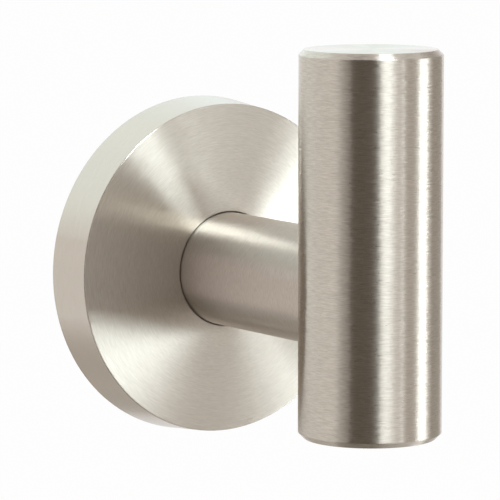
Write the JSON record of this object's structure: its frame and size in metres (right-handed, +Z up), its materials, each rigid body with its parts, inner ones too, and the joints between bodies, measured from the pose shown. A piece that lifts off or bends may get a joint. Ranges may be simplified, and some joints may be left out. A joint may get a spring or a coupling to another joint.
{
  "type": "robe hook",
  "caption": "Brushed stainless robe hook: an upright round bar on a short stem, fixed to a wall by a round rosette that hides its bracket.",
  "frame": {"origin": "centre of the rosette's back on the wall plane, on the stem's axis", "axes": "+Y into the wall, -Y out along the stem towards the hook bar, +Z up along the hook bar, +X to the right of someone facing the wall"},
  "size_m": [0.054, 0.0591, 0.0644],
  "materials": {
    "rosette_steel": "turned and brushed in circles about the stem",
    "stem_steel": "brushed around the bar",
    "bar_steel": "brushed around the bar",
    "bracket_steel": "plain turned",
    "fastener_steel": "plain"
  },
  "bodies": {
    "root": {"rosette": "rosette_steel", "stem": "stem_steel", "hook_bar": "bar_steel", "wall_bracket": "bracket_steel", "set_screw": "fastener_steel", "stem_bolt": "fastener_steel", "lock_washer": "fastener_steel", "bar_stud": "fastener_steel"}
  },
  "joints": []
}
